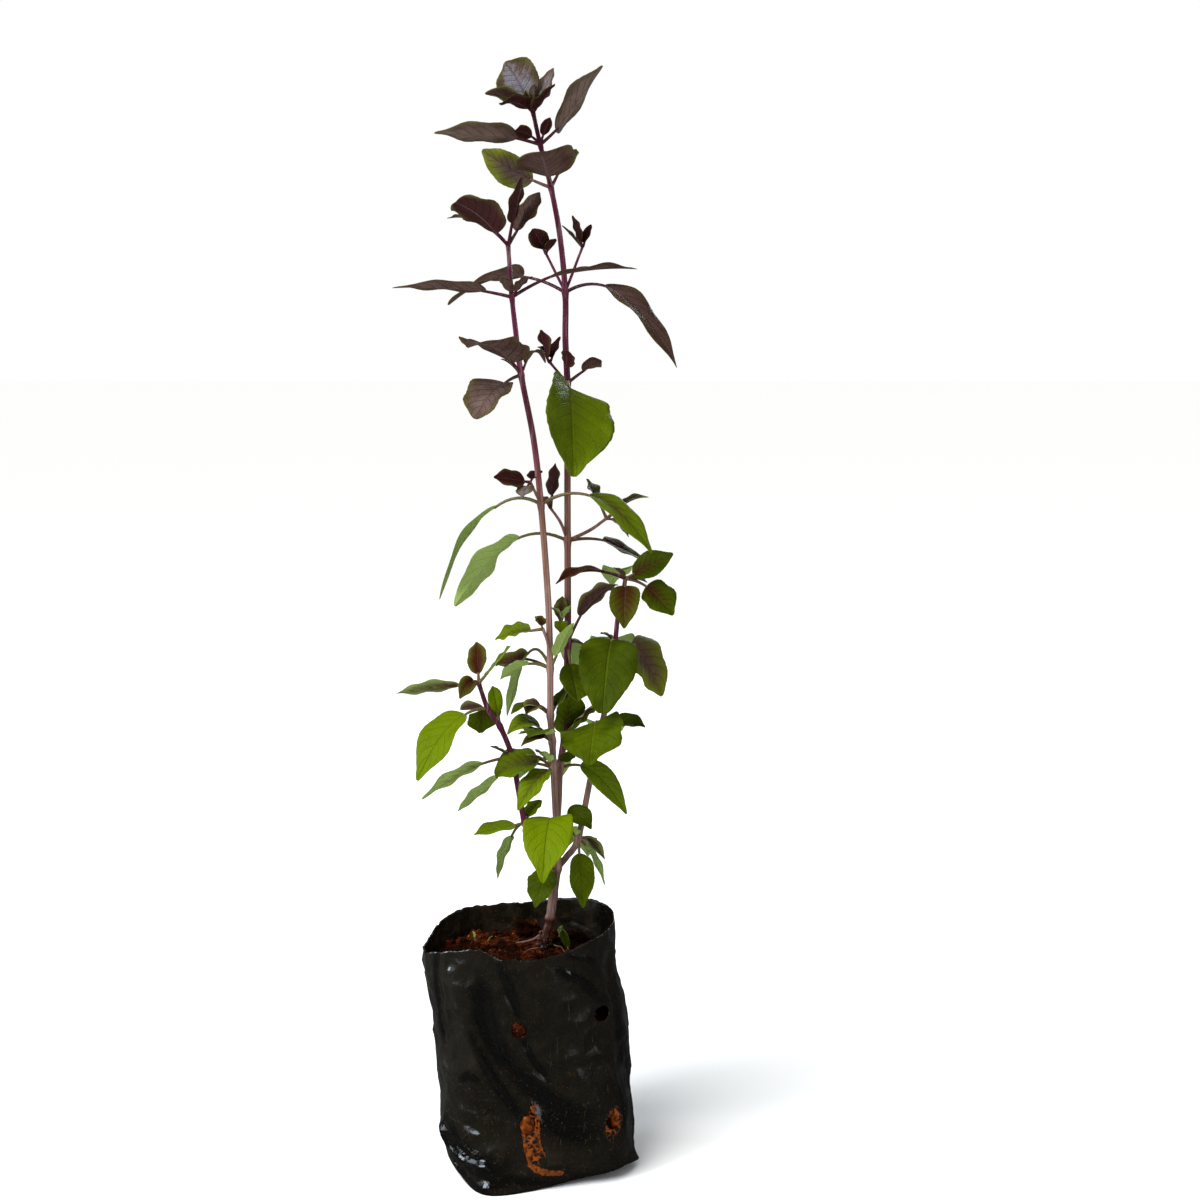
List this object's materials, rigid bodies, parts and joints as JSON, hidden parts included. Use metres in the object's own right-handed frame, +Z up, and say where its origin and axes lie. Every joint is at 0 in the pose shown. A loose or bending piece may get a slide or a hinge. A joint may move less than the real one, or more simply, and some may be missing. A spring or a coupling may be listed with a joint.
{
  "type": "potted basil plant",
  "caption": "Leggy purple-stemmed basil plant in a soft black film nursery bag filled with soil, standing on the bag's flat base.",
  "frame": {"origin": "on the bag's flat underside, below the middle of the filled bag", "axes": "+Z up along the plant, +X to the right and +Y away from a viewer in front of the bag"},
  "size_m": [0.165, 0.0955, 0.652],
  "materials": {
    "bag_film": "gloss",
    "soil": "matte",
    "woody_stem": "satin",
    "purple_leaf": "satin",
    "green_leaf": "satin"
  },
  "bodies": {
    "root": {"grow_bag": "bag_film", "potting_soil": "soil", "main_stem": "woody_stem", "tall_left_stem": "purple_leaf", "tall_right_stem": "purple_leaf", "lower_right_branch": "green_leaf", "lower_left_branch": "green_leaf"}
  },
  "joints": []
}
